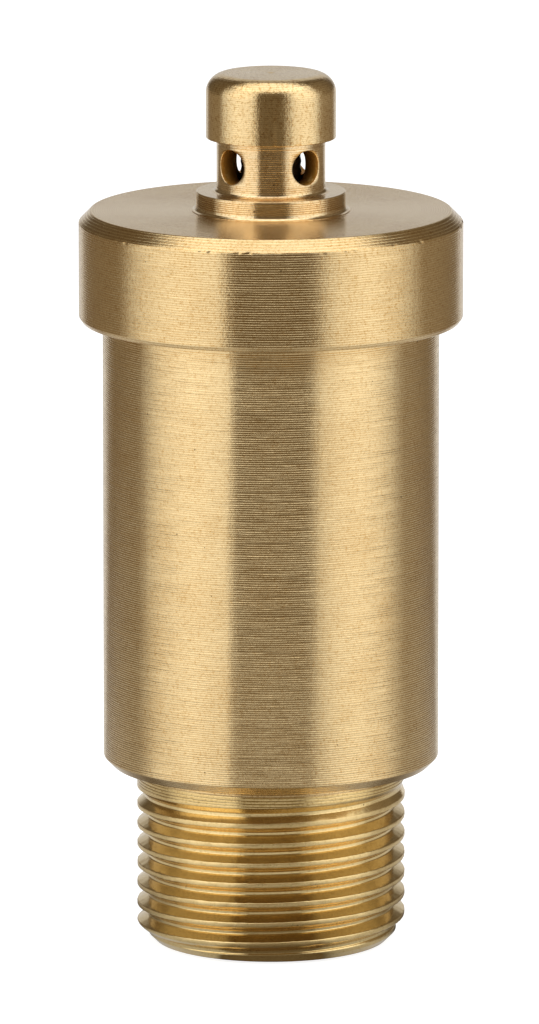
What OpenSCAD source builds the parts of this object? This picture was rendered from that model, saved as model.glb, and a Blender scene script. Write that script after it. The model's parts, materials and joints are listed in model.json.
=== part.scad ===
// Automatic air vent for heating pipework: a turned brass float chamber on a male pipe thread,
// a screwed cover, and a vent turret with four side ports under a screw-down cap.
// Inside, a float works a stainless lever that opens and closes a rubber-faced air valve.
// Millimetres. +Z is up and is the axis of the body. The origin is the centre of the
// thread's end face. The cap is drawn screwed down and the float at its lowest.

/* [Pipe thread] */
// Major diameter of the male pipe thread, M27 x 2
thread_d = 26.7; // [25.6:0.01:30]
// Pitch of the thread
thread_pitch = 2; // [1.4:0.001:2.3]
// Height from the end face to the top of the last groove
thread_l = 15.91; // [12:0.05:22]
// Height of the plain turned band between the thread and the body
band_l = 1.93; // [1.5:0.01:5]
// Depth of the bevel on the thread's end
thread_bevel = 1.75; // [0.5:0.01:1.9]
// Bore of the water inlet
inlet_d = 19; // [12:0.1:20.4]

/* [Body] */
// Outer diameter of the body
body_d = 33.32; // [32.6:0.01:35.4]
// Length of the body's plain wall, from its lower shoulder to the cover
body_h = 44.66; // [36:0.01:60]
// Thickness of the body's wall
body_wall = 2.15; // [1.7:0.01:2.6]
// Thickness of the body's floor
body_floor = 2.2; // [1.5:0.1:4]
// Bevel round the body's lower edge
body_bevel = 0.87; // [0.2:0.01:1.5]

/* [Cover] */
// Outer diameter of the cover
cover_d = 38.02; // [36.6:0.01:44]
// Height of the cover
cover_h = 11.03; // [9.5:0.01:16]
// Thickness of the cover's roof
cover_roof = 3.03; // [2.2:0.01:4.5]
// Bevel round the cover's upper edge
cover_bevel = 1.18; // [0.3:0.01:1.6]
// Bevel round the cover's lower edge
cover_lower_bevel = 0.36; // [0.1:0.01:0.8]
// Thickness of the flat gasket between body and cover
gasket_t = 1.2; // [0.8:0.1:2]

/* [Turret] */
// Diameter of the collar that seats on the cover
collar_d = 14.75; // [14.2:0.01:18]
// Height of the collar
collar_h = 1.92; // [1.4:0.01:3]
// Diameter of the ported neck
neck_d = 10.75; // [10.3:0.01:11.8]
// Height of the neck that shows between collar and cap
neck_h = 5.32; // [5.2:0.01:9]
// Diameter of each side port
port_d = 3.5; // [2:0.1:3.9]
// Number of side ports
port_count = 4; // [2:1:6]
// Angle of the first port from the lever's plane
port_angle = 41.7; // [0:0.1:89]
// Height of the ports' centres above the collar
port_height = 2.85; // [2.45:0.01:3.1]
// Bore of the chamber behind the ports
port_chamber_d = 7.2; // [6.8:0.1:8]
// Diameter of the turret's shank below the cover
shank_d = 9.9; // [8:0.1:10.6]
// Diameter of the air passage
orifice_d = 2; // [1:0.1:2.4]
// Height of the hexagon nut on the shank
nut_h = 3; // [2:0.1:5]
// Size of the nut across its flats
nut_af = 14; // [13:0.1:15]
// Section of the O-ring under the collar
o_ring_t = 1.4; // [1:0.05:1.7]

/* [Vent cap] */
// Diameter of the cap
cap_d = 12.85; // [12.5:0.01:16]
// Height of the cap
cap_h = 6.41; // [5:0.01:9]
// Radius of the cap's rounded upper edge
cap_edge = 1.9; // [0.5:0.1:2.4]
// Diameter of the cap's screw
screw_d = 6; // [5:0.1:6.2]
// Height of the threaded top of the turret, inside the cap
guide_h = 2.63; // [1.6:0.01:3.2]

/* [Float] */
// Free width between the float and the body's bore
float_gap = 1.51; // [0.6:0.01:2]
// Wall of the float
float_wall = 1; // [0.6:0.1:1.4]
// Height that the float rises
float_travel = 5; // [3:0.1:5.6]
// Free height above the float when it is up
float_head_room = 1.4; // [0.6:0.1:6]
// Height of the grille that the float stands over
rest_h = 2.9; // [1.6:0.1:6]

/* [Lever and valve] */
// Distance from the lever's pivot to the valve
valve_arm = 5; // [4.7:0.1:5.8]
// Distance from the float's edge in to its link
link_inset = 4; // [3.7:0.1:4.6]
// Thickness of the bracket's sheet
bracket_t = 0.8; // [0.5:0.05:1]
// Thickness of the lever's sheet
lever_t = 0.8; // [0.5:0.05:1]
// Width between the lever's cheeks
lever_gap = 6.6; // [6.4:0.1:7.4]
// Height of the lever's cheeks
lever_h = 3.2; // [2.8:0.1:3.6]
// Diameter of the pivot pin
pivot_d = 2; // [1.4:0.1:2.2]
// Diameter of the valve's and the link's pins
pin_d = 1.5; // [1:0.1:1.7]
// Diameter of the rubber valve pad
pad_d = 4.4; // [4:0.1:4.7]
// Thickness of the valve pad
pad_t = 1.5; // [1:0.1:2.2]
// Diameter of the valve spring's wire
wire_d = 0.35; // [0.25:0.01:0.45]
// Turns of the valve spring
spring_turns = 3.5; // [2:0.5:4]

/* [Fits] */
// Radial clearance of a piece that turns or slides
running_fit = 0.05; // [0.03:0.01:0.1]
// Radial clearance of a piece that is assembled and stays
seated_fit = 0.02; // [0.01:0.01:0.05]
// Free space round a piece that moves
free_gap = 0.3; // [0.2:0.05:0.4]

/* [Hidden] */

$fn = 96;
// How far a cut runs past the face it opens
cut = 1;

brass = "#b5904e";
bright_brass = "#c6a35c";
steel = "#b8bcc0";
rubber = "#26282b";
white_plastic = "#e9e6dc";

// Thread form: 60 degrees between the flanks, flat crests and roots
flank_angle = 30;
thread_r = thread_d / 2;
thread_depth = 0.5385 * thread_pitch;
groove_top = 0.79 * thread_pitch;
groove_root = groove_top - 2 * thread_depth * tan(flank_angle);
last_groove_depth = 0.5;

// Levels, from the thread's end face up to the cap
shoulder_z = thread_l + band_l;
floor_z = shoulder_z + body_floor;
cover_z = shoulder_z + body_h;
cover_top = cover_z + cover_h;
roof_z = cover_top - cover_roof;
spigot_top = roof_z - gasket_t;
collar_top = cover_top + collar_h;
neck_top = collar_top + neck_h;
cap_top = neck_top + cap_h;

// Body and cover
body_r = body_d / 2;
bore_r = body_r - body_wall;
spigot_r = body_r - 0.7;
shoulder_fillet = 0.6;
lip_fillet = 0.5;
cover_r = cover_d / 2;

// Turret
neck_r = neck_d / 2;
neck_fillet = 0.45;
collar_r = collar_d / 2;
collar_fillet = 0.45;
fillet_lip = 0.05;
edge_break = 0.1;
shank_r = shank_d / 2;
shank_bevel = 0.4;
orifice_r = orifice_d / 2;
nozzle_r = orifice_r + 0.7;
nozzle_h = 1;
seat_bevel = 0.3;
lip_h = 0.4;
bracket_z = roof_z - bracket_t;
nut_z = bracket_z - nut_h;
shank_z = nut_z - shank_bevel;
seat_z = shank_z - nozzle_h;
port_level = collar_top + port_height;
port_chamber_r = port_chamber_d / 2;
chamber_top = port_level + port_d / 2 + 0.35;
chamber_z = collar_top - 0.85;
lip_z = chamber_z + lip_h;
guide_step = neck_top + 0.33;
guide_top = neck_top + guide_h;
guide_r = neck_r - 0.28;
guide_bevel = 0.2;
o_ring_r = shank_r + seated_fit + o_ring_t / 2;
o_ring_z = cover_top - seated_fit - o_ring_t / 2;

// Cap and its screw
cap_r = cap_d / 2;
cap_edge_break = 0.08;
skirt_r = neck_r + running_fit + 0.02;
recess_top = guide_top + 0.5;
screw_r = screw_d / 2;
screw_end = lip_z + 0.85;
tip_r = 2;
tip_stem_r = 1;
tip_stem_l = 2.6;

// Lever: it swings as far above level as below it, so that the float rises straight
float_r = bore_r - float_gap;
link_x = float_r - link_inset;
float_arm = valve_arm + link_x;
pivot_x = -valve_arm;
tilt = atan(float_travel / 2 / float_arm);
valve_lift = float_travel * valve_arm / float_arm;
cheek_y = lever_gap / 2;
cheek_out = cheek_y + lever_t;
slot_play = 0.35;

// Valve, from the seat down
pad_gap = 0.05;
pad_grip = 1;
pin_r = pin_d / 2;
pad_r = pad_d / 2;
pad_top = seat_z - pad_gap - valve_lift;
pad_z = pad_top - pad_t;
carrier_top = pad_z + pad_grip;
carrier_pin_z = pad_z - 0.6 - pin_r;
carrier_z = carrier_pin_z - pin_r - 0.75;
carrier_r = pad_r + 0.6;
stem_r = 1.2;
spring_room = 2.3;
guide_plate_top = carrier_z - spring_room;
guide_plate_z = guide_plate_top - bracket_t;
stem_z = guide_plate_z - free_gap - valve_lift;
pivot_z = carrier_pin_z + valve_lift / 2;
link_pin_z = pivot_z - float_travel / 2;

// Bracket
pivot_r = pivot_d / 2;
ear_y = cheek_out + free_gap;
ear_out = ear_y + bracket_t;
ear_r = 2;
leg_x = pivot_x - 4;
plate_r = 7.5;
guide_plate_w = 6;

// Float
float_in_r = float_r - float_wall;
float_edge = 2;
rest_top = floor_z + rest_h;
float_z = rest_top + free_gap;
float_top = guide_plate_z - float_head_room - float_travel;
lid_t = 1.2;
lid_skirt = 2;
lid_z = float_top - lid_t;
link_out = cheek_y - free_gap;
link_w = 3;
link_reach = 1.5;
rivet_r = 0.9;
rivet_head_r = 1.5;
rivet_l = 3;
boss_r = 1.9;

// Points of a quarter circle about (x, z), from angle a to a + 90
function quarter(x, z, r, a, n = 8) =
    [for (i = [0:n]) [x + r * cos(a + 90 * i / n), z + r * sin(a + 90 * i / n)]];

// The same points in the other order
function reversed(points) = [for (i = [len(points) - 1:-1:0]) points[i]];

// An upright cylinder between two levels
module post(r, low, high) {
    translate([0, 0, low]) cylinder(r = r, h = high - low);
}

// An upright ring between two levels
module ring(outer, inner, low, high) {
    difference() {
        post(outer, low, high);
        post(inner, low - cut, high + cut);
    }
}

// A cylinder along Y at (x, z), between two values of y
module cross_post(x, z, r, near, far) {
    translate([x, far, z]) rotate([90, 0, 0]) cylinder(r = r, h = far - near);
}

// A box between two corners
module block(low, high) {
    translate(low) cube(high - low);
}

// Grooves of the pipe thread; the top one runs out shallow
module thread_grooves() {
    for (k = [0:ceil(thread_l / thread_pitch)]) {
        depth = thread_depth * (k == 0 ? last_groove_depth : 1);
        z = thread_l - groove_top / 2 - k * thread_pitch;
        slope = tan(flank_angle);
        low = groove_top / 2 - depth * slope;
        rotate_extrude() polygon([
            [thread_r - depth, z - low], [thread_r + cut, z - low - (depth + cut) * slope],
            [thread_r + cut, z + low + (depth + cut) * slope], [thread_r - depth, z + low]]);
    }
}

// Cup with the pipe thread below and the spigot for the cover above
module body() {
    color(brass) difference() {
        rotate_extrude() polygon(concat(
            [[0, 0], [thread_r - thread_bevel, 0], [thread_r, thread_bevel]],
            reversed(quarter(thread_r + shoulder_fillet, shoulder_z - shoulder_fillet,
                             shoulder_fillet, 90)),
            [[body_r - body_bevel, shoulder_z], [body_r, shoulder_z + body_bevel],
             [body_r, cover_z - lip_fillet], [body_r + lip_fillet, cover_z],
             [spigot_r, cover_z], [spigot_r, spigot_top], [0, spigot_top]]));
        translate([0, 0, -cut]) cylinder(d = inlet_d, h = shoulder_z + body_floor + 2 * cut);
        post(bore_r, floor_z, spigot_top + cut);
        thread_grooves();
    }
}

// Screwed cover, bored for the turret's shank and counterbored for its O-ring
module cover() {
    color(brass) difference() {
        rotate_extrude() polygon([
            [0, cover_z], [cover_r - cover_lower_bevel, cover_z],
            [cover_r, cover_z + cover_lower_bevel], [cover_r, cover_top - cover_bevel],
            [cover_r - cover_bevel, cover_top], [0, cover_top]]);
        post(spigot_r + running_fit, cover_z - cut, roof_z);
        post(shank_r + seated_fit, roof_z - cut, cover_top + cut);
        post(o_ring_r + o_ring_t / 2 + seated_fit, o_ring_z - o_ring_t / 2 - seated_fit,
             cover_top + cut);
    }
}

module cover_gasket() {
    color(rubber) ring(spigot_r, bore_r, spigot_top, roof_z);
}

// Collar, ported neck, shank and valve nozzle, turned in one piece
module turret() {
    color(bright_brass) difference() {
        rotate_extrude() polygon(concat(
            [[0, seat_z], [nozzle_r - seat_bevel, seat_z], [nozzle_r, seat_z + seat_bevel],
             [nozzle_r, shank_z], [shank_r - shank_bevel, shank_z],
             [shank_r, shank_z + shank_bevel], [shank_r, cover_top]],
            [[collar_r + collar_fillet, cover_top]],
            reversed(quarter(collar_r + collar_fillet, cover_top + fillet_lip + collar_fillet,
                             collar_fillet, 180)),
            [[collar_r, collar_top - edge_break], [collar_r - edge_break, collar_top]],
            reversed(quarter(neck_r + neck_fillet, collar_top + neck_fillet, neck_fillet, 180)),
            [[neck_r, guide_step], [guide_r, guide_step], [guide_r, guide_top - guide_bevel],
             [guide_r - guide_bevel, guide_top], [0, guide_top]]));
        post(orifice_r, seat_z - cut, lip_z + cut);
        rotate_extrude() polygon([
            [0, lip_z], [nozzle_r - seat_bevel, lip_z], [nozzle_r, lip_z - seat_bevel],
            [nozzle_r, chamber_z], [port_chamber_r, chamber_z], [port_chamber_r, chamber_top],
            [0, chamber_top]]);
        post(screw_r + running_fit, chamber_top - cut, guide_top + cut);
        for (i = [0:port_count - 1])
            rotate([0, 0, port_angle + 360 * i / port_count]) translate([screw_r, 0, port_level])
                rotate([0, 90, 0]) cylinder(d = port_d, h = neck_r);
    }
}

module turret_o_ring() {
    color(rubber) rotate_extrude() translate([o_ring_r, o_ring_z]) circle(d = o_ring_t);
}

// Hexagon nut that holds the turret and the bracket to the cover
module turret_nut() {
    color(bright_brass) difference() {
        translate([0, 0, nut_z])
            rotate([0, 0, 30]) cylinder(r = nut_af / 2 / cos(30), h = nut_h, $fn = 6);
        post(shank_r + seated_fit, nut_z - cut, bracket_z + cut);
    }
}

// Stamped bracket: top plate under the nut, leg, two ears for the pivot, and the guide plate
module lever_bracket() {
    color(steel) difference() {
        union() {
            post(plate_r, bracket_z, roof_z);
            block([leg_x - bracket_t, -ear_out, bracket_z], [0, ear_out, roof_z]);
            block([leg_x - bracket_t, -ear_out, guide_plate_z], [leg_x, ear_out, roof_z]);
            block([leg_x - bracket_t, -guide_plate_w / 2, guide_plate_z],
                  [0, guide_plate_w / 2, guide_plate_top]);
            post(guide_plate_w / 2, guide_plate_z, guide_plate_top);
            for (y = [-ear_out, ear_y]) {
                block([leg_x - bracket_t, y, pivot_z - ear_r],
                      [pivot_x, y + bracket_t, pivot_z + ear_r]);
                cross_post(pivot_x, pivot_z, ear_r, y, y + bracket_t);
            }
        }
        post(shank_r + seated_fit, bracket_z - cut, roof_z + cut);
        post(stem_r + running_fit, guide_plate_z - cut, guide_plate_top + cut);
        cross_post(pivot_x, pivot_z, pivot_r + seated_fit, -ear_out - cut, ear_out + cut);
    }
}

// Pivot pin with one head; the clip holds its other end
pin_head_t = 0.5;
clip_t = 0.4;
clip_y = ear_out + seated_fit;

module pivot_pin() {
    color(steel) {
        cross_post(pivot_x, pivot_z, pivot_r, -ear_out - seated_fit, clip_y + 2 * clip_t);
        cross_post(pivot_x, pivot_z, pivot_r + 0.7, -clip_y - pin_head_t, -clip_y);
    }
}

module pivot_clip() {
    color(steel) difference() {
        cross_post(pivot_x, pivot_z, pivot_r + 1, clip_y, clip_y + clip_t);
        cross_post(pivot_x, pivot_z, pivot_r + seated_fit, clip_y - cut, clip_y + cut);
    }
}

// Pin with a head peened on each end, outside the lever's cheeks
module headed_pin(x, z) {
    head_y = cheek_out + free_gap;
    color(steel) {
        cross_post(x, z, pin_r, -head_y - pin_head_t, head_y + pin_head_t);
        for (y = [-head_y - pin_head_t, head_y])
            cross_post(x, z, pin_r + 0.35, y, y + pin_head_t);
    }
}

module carrier_pin() {
    headed_pin(0, carrier_pin_z);
}

module link_pin() {
    headed_pin(link_x, link_pin_z);
}

// Slot across the lever for a pin that keeps its own x while the lever turns
module lever_slot(arm) {
    mid = arm * (1 + 1 / cos(tilt)) / 2;
    r = pin_r + running_fit;
    for (x = [mid - slot_play / 2, mid + slot_play / 2])
        cross_post(x, 0, r, -cheek_out - cut, cheek_out + cut);
    block([mid - slot_play / 2, -cheek_out - cut, -r], [mid + slot_play / 2, cheek_out + cut, r]);
}

// Two cheeks joined by a web, drawn level and then turned down by the tilt
module lever() {
    web_gap = 0.8;
    web_x = valve_arm + carrier_r + web_gap;
    web_end = float_arm - link_w / 2 - web_gap;
    color(steel) translate([pivot_x, 0, pivot_z]) rotate([0, tilt, 0]) difference() {
        union() {
            for (y = [-cheek_out, cheek_y]) {
                block([0, y, -lever_h / 2], [float_arm, y + lever_t, lever_h / 2]);
                for (x = [0, float_arm]) cross_post(x, 0, lever_h / 2, y, y + lever_t);
            }
            block([web_x, -cheek_out, lever_h / 2 - lever_t], [web_end, cheek_out, lever_h / 2]);
        }
        cross_post(0, 0, pivot_r + running_fit, -cheek_out - cut, cheek_out + cut);
        lever_slot(valve_arm);
        lever_slot(float_arm);
    }
}

// Cup for the valve pad, with the cross hole for its pin and a guide stem below
module valve_carrier() {
    color(bright_brass) difference() {
        union() {
            post(carrier_r, carrier_z, carrier_top);
            post(stem_r, stem_z, carrier_z);
        }
        post(pad_r + seated_fit, pad_z, carrier_top + cut);
        cross_post(0, carrier_pin_z, pin_r + seated_fit, -carrier_r - cut, carrier_r + cut);
    }
}

module valve_pad() {
    color(rubber) post(pad_r, pad_z, pad_top);
}

// Section of the spring's wire at step i of its helix, as a closed ring of points
spring_steps = 24;
wire_sides = 8;
spring_r = stem_r + wire_d / 2 + 0.35;
spring_low = guide_plate_top + wire_d / 2 + seated_fit;
spring_high = carrier_z - wire_d / 2 - seated_fit;

function spring_ring(i, n) =
    let (a = 360 * i / spring_steps, z = spring_low + (spring_high - spring_low) * i / n)
    [for (k = [0:wire_sides - 1])
        let (b = 360 * (k + 0.5) / wire_sides, r = spring_r + wire_d / 2 * cos(b))
        [r * cos(a), r * sin(a), z + wire_d / 2 * sin(b)]];

module valve_spring() {
    n = round(spring_turns * spring_steps);
    m = wire_sides;
    points = [for (i = [0:n]) each spring_ring(i, n)];
    sides = [for (i = [0:n - 1]) for (k = [0:m - 1])
        let (a = m * i + k, b = m * i + (k + 1) % m) each [[a, b, b + m], [a, b + m, a + m]]];
    ends = [[for (k = [m - 1:-1:0]) k], [for (k = [0:m - 1]) m * n + k]];
    color(steel) polyhedron(points, concat(sides, ends), convexity = 6);
}

// Open float cup with a rounded lower edge
module float_shell() {
    color(white_plastic) difference() {
        rotate_extrude() polygon(concat(
            [[0, float_z]],
            quarter(float_r - float_edge, float_z + float_edge, float_edge, -90),
            [[float_r, lid_z], [0, lid_z]]));
        rotate_extrude() polygon(concat(
            [[0, float_z + float_wall]],
            quarter(float_r - float_edge, float_z + float_edge, float_edge - float_wall, -90),
            [[float_in_r, lid_z + cut], [0, lid_z + cut]]));
    }
}

// Welded lid with a skirt inside the cup and a boss for the link's rivet
module float_lid() {
    skirt_out = float_in_r - seated_fit;
    color(white_plastic) difference() {
        union() {
            post(float_r, lid_z, float_top);
            ring(skirt_out, skirt_out - 1, lid_z - lid_skirt, lid_z);
            translate([link_x, 0, 0]) post(boss_r, lid_z - rivet_l, lid_z);
        }
        translate([link_x, 0, 0]) post(rivet_r + seated_fit, float_top - rivet_l, float_top + cut);
    }
}

// Folded strip from the float's lid up to the lever's end
module float_link() {
    color(steel) difference() {
        union() {
            block([link_x - link_w / 2, -link_out, float_top],
                  [link_x + link_w / 2, link_out, float_top + lever_t]);
            for (y = [-link_out, link_out - lever_t]) {
                block([link_x - link_w / 2, y, float_top],
                      [link_x + link_w / 2, y + lever_t, link_pin_z]);
                cross_post(link_x, link_pin_z, link_reach, y, y + lever_t);
            }
        }
        cross_post(link_x, link_pin_z, pin_r + seated_fit, -link_out - cut, link_out + cut);
        translate([link_x, 0, 0])
            post(rivet_r + seated_fit, float_top - cut, float_top + lever_t + cut);
    }
}

module link_rivet() {
    head_z = float_top + lever_t;
    color(steel) translate([link_x, 0, 0]) {
        post(rivet_r, float_top - rivet_l, head_z);
        post(rivet_head_r, head_z, head_z + 0.6);
    }
}

// Grille on the chamber's floor that keeps the float off the inlet
module float_rest() {
    rim_r = bore_r - seated_fit - 0.1;
    rim_w = 1.6;
    rib_w = 1.6;
    color(white_plastic) {
        ring(rim_r, rim_r - rim_w, floor_z, floor_z + rest_h / 2);
        intersection() {
            post(rim_r - rim_w / 2, floor_z, rest_top);
            for (i = [0:2]) rotate([0, 0, 60 * i])
                block([-bore_r, -rib_w / 2, floor_z], [bore_r, rib_w / 2, rest_top]);
        }
    }
}

// Seal that closes the air passage; its stem turns in the cap's screw
module spindle_tip() {
    tip_gap = 0.02;
    color(rubber) {
        post(tip_r, lip_z + tip_gap, screw_end - running_fit);
        post(tip_stem_r, lip_z + tip_gap, screw_end + tip_stem_l);
    }
}

// Cap: a skirt over the turret's top, and the screw that carries the tip
module vent_cap() {
    color(brass) difference() {
        union() {
            difference() {
                rotate_extrude() polygon(concat(
                    [[0, neck_top], [cap_r - cap_edge_break, neck_top],
                     [cap_r, neck_top + cap_edge_break]],
                    quarter(cap_r - cap_edge, cap_top - cap_edge, cap_edge, 0),
                    [[0, cap_top]]));
                post(skirt_r, neck_top - cut, recess_top);
            }
            post(screw_r, screw_end, recess_top + cut);
        }
        post(tip_stem_r + running_fit, screw_end - cut, screw_end + tip_stem_l + free_gap);
    }
}

body();
cover();
cover_gasket();
turret();
turret_o_ring();
turret_nut();
lever_bracket();
pivot_pin();
pivot_clip();
lever();
valve_carrier();
valve_pad();
carrier_pin();
valve_spring();
float_shell();
float_lid();
float_link();
link_rivet();
link_pin();
float_rest();
spindle_tip();
vent_cap();
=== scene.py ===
"""Automatic air vent: its turned brass pieces, the finishes of its inner pieces, and the studio.

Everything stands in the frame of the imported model: metres, +Z up along the body's axis, and the
origin at the centre of the pipe thread's end face. The classes give their own sizes in
millimetres, as a turner's drawing does, and take the main levels and radii from the frame.
"""

import json
import logging
import math
from dataclasses import dataclass, field
from enum import Enum
from typing import Any, Iterable, Sequence

import bmesh
import bpy
from mathutils import Matrix, Vector, noise

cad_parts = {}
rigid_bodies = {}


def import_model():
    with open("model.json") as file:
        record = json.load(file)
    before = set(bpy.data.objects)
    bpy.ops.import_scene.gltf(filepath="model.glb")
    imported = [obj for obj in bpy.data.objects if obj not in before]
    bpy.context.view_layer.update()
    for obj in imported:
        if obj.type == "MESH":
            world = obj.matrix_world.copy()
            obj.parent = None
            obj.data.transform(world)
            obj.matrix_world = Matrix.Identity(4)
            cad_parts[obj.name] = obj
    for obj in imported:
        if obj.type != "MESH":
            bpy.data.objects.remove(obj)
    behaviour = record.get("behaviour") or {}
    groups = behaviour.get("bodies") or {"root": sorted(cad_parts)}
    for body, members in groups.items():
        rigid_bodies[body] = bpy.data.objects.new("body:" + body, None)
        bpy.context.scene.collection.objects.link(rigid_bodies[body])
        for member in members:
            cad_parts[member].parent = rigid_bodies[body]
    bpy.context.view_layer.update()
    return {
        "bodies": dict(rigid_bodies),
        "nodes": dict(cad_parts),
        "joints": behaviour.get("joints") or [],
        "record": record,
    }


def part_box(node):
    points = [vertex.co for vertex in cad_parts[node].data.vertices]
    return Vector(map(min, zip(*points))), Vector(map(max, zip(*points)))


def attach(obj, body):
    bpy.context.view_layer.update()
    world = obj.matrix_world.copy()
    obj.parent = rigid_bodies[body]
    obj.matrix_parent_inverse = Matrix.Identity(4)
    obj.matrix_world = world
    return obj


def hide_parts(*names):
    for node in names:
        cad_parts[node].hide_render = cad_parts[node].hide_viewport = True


LOG = logging.getLogger("air_vent")
MM = 0.001
# Vertices closer than this are one, metres
MERGE = 2e-6
# How near a point has to be to a radius or a level to lie on it, mm
NEAR = 0.02
Colour = tuple[float, float, float, float]
Stops = Sequence[tuple[float, float]]
Term = bpy.types.NodeSocket | float | tuple[float, ...]


class Body(Enum):
    """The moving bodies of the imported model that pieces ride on."""

    VENT = "vent_body"
    CAP = "vent_cap"


class Slot(Enum):
    """The record's material slots for turned brass."""

    TURNED_BRASS = "turned_brass"
    TURRET_BRASS = "turret_brass"


# ---------------------------------------------------------------- shader helpers


def linear(code: str) -> Colour:
    """Turns an sRGB hex colour to linear RGBA.

    Args:
        code: the colour, such as "#e4c894".

    Returns:
        The linear colour with an alpha of 1.
    """
    levels = [int(code[i : i + 2], 16) / 255 for i in (1, 3, 5)]
    r, g, b = (c / 12.92 if c <= 0.04045 else ((c + 0.055) / 1.055) ** 2.4 for c in levels)
    return (r, g, b, 1.0)


def add_node(
    tree: bpy.types.NodeTree,
    kind: str,
    settings: dict[str | int, Any] | None = None,
    links: dict[str | int, bpy.types.NodeSocket] | None = None,
) -> bpy.types.Node:
    """Adds a node, sets its properties and unlinked inputs, and links its other inputs.

    Args:
        tree: the node tree that gets the node.
        kind: the node's type name.
        settings: values by property name, or by input name or number.
        links: output sockets by input name or number.

    Returns:
        The new node.
    """
    node = tree.nodes.new(kind)
    for name, value in (settings or {}).items():
        if isinstance(name, str) and hasattr(node, name):
            setattr(node, name, value)
        else:
            node.inputs[name].default_value = value
    for name, source in (links or {}).items():
        tree.links.new(source, node.inputs[name])
    return node


def add_fed(
    tree: bpy.types.NodeTree, kind: str, settings: dict[str | int, Any],
    terms: dict[str | int, Term],
) -> bpy.types.Node:
    """Adds a node whose inputs are values or sockets.

    Args:
        tree: the node tree.
        kind: the node's type name.
        settings: values by property name.
        terms: a value or an output socket by input name or number.

    Returns:
        The new node.
    """
    links = {k: v for k, v in terms.items() if isinstance(v, bpy.types.NodeSocket)}
    values = {k: v for k, v in terms.items() if k not in links}
    return add_node(tree, kind, settings | values, links)


def calc(
    tree: bpy.types.NodeTree, operation: str, *terms: Term, clamp: bool = False
) -> bpy.types.NodeSocket:
    """Adds a calculation with numbers.

    Args:
        tree: the node tree.
        operation: what to work out, by its type name.
        terms: its inputs in order, each a value or a socket.
        clamp: whether the result is held between 0 and 1.

    Returns:
        The result's socket.
    """
    settings = {"operation": operation, "use_clamp": clamp}
    return add_fed(tree, "ShaderNodeMath", settings, dict(enumerate(terms))).outputs[0]


def calc_vector(
    tree: bpy.types.NodeTree, operation: str, *terms: Term
) -> bpy.types.NodeSocket:
    """Adds a calculation with vectors.

    Args:
        tree: the node tree.
        operation: what to work out, by its type name.
        terms: its inputs in order, each a value or a socket.

    Returns:
        The result's socket.
    """
    settings = {"operation": operation}
    return add_fed(tree, "ShaderNodeVectorMath", settings, dict(enumerate(terms))).outputs[0]


def blend(
    tree: bpy.types.NodeTree, share: Term, first: Term, second: Term
) -> bpy.types.NodeSocket:
    """Mixes two colours.

    Args:
        tree: the node tree.
        share: how much of the second colour shows, from 0 to 1.
        first: the first colour.
        second: the second colour.

    Returns:
        The mixed colour's socket.
    """
    colours = {0: share, 6: first, 7: second}
    return add_fed(tree, "ShaderNodeMix", {"data_type": "RGBA"}, colours).outputs[2]


def ease(
    tree: bpy.types.NodeTree, value: bpy.types.NodeSocket, span: tuple[float, float],
    ends: tuple[float, float] = (0.0, 1.0),
) -> bpy.types.NodeSocket:
    """Goes smoothly from one level to another while a value crosses a span.

    Args:
        tree: the node tree.
        value: the value's socket.
        span: where the change begins and ends.
        ends: the levels before and after it.

    Returns:
        The level's socket.
    """
    settings = {"interpolation_type": "SMOOTHSTEP", "From Min": span[0], "From Max": span[1],
                "To Min": ends[0], "To Max": ends[1]}
    return add_node(tree, "ShaderNodeMapRange", settings, {"Value": value}).outputs["Result"]


def mottle(
    tree: bpy.types.NodeTree, place: bpy.types.NodeSocket, scale: float, **settings: float
) -> bpy.types.NodeSocket:
    """Adds a cloudy noise.

    Args:
        tree: the node tree.
        place: where it is read.
        scale: number of its clouds per unit of place.
        settings: its detail, roughness and distortion.

    Returns:
        The noise's socket, from 0 to 1.
    """
    numbers = {"Scale": scale} | {name.title(): value for name, value in settings.items()}
    return add_node(tree, "ShaderNodeTexNoise", numbers, {"Vector": place}).outputs["Fac"]


def new_material(name: str) -> tuple[bpy.types.Material, bpy.types.NodeTree, bpy.types.Node]:
    """Makes an empty node material with its output.

    Args:
        name: the material's name.

    Returns:
        The material, its tree and its output node.
    """
    material = bpy.data.materials.new(name)
    material.use_nodes = True
    material.node_tree.nodes.clear()
    return material, material.node_tree, add_node(material.node_tree, "ShaderNodeOutputMaterial")


def millimetres(tree: bpy.types.NodeTree) -> bpy.types.NodeSocket:
    """Gives the surface point in millimetres, in the piece's own coordinates.

    Args:
        tree: the node tree.

    Returns:
        The point's socket.
    """
    place = add_node(tree, "ShaderNodeTexCoord").outputs["Object"]
    return add_node(tree, "ShaderNodeVectorMath", {"operation": "SCALE", "Scale": 1 / MM},
                    {0: place}).outputs["Vector"]


# ---------------------------------------------------------------- finishes


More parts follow.
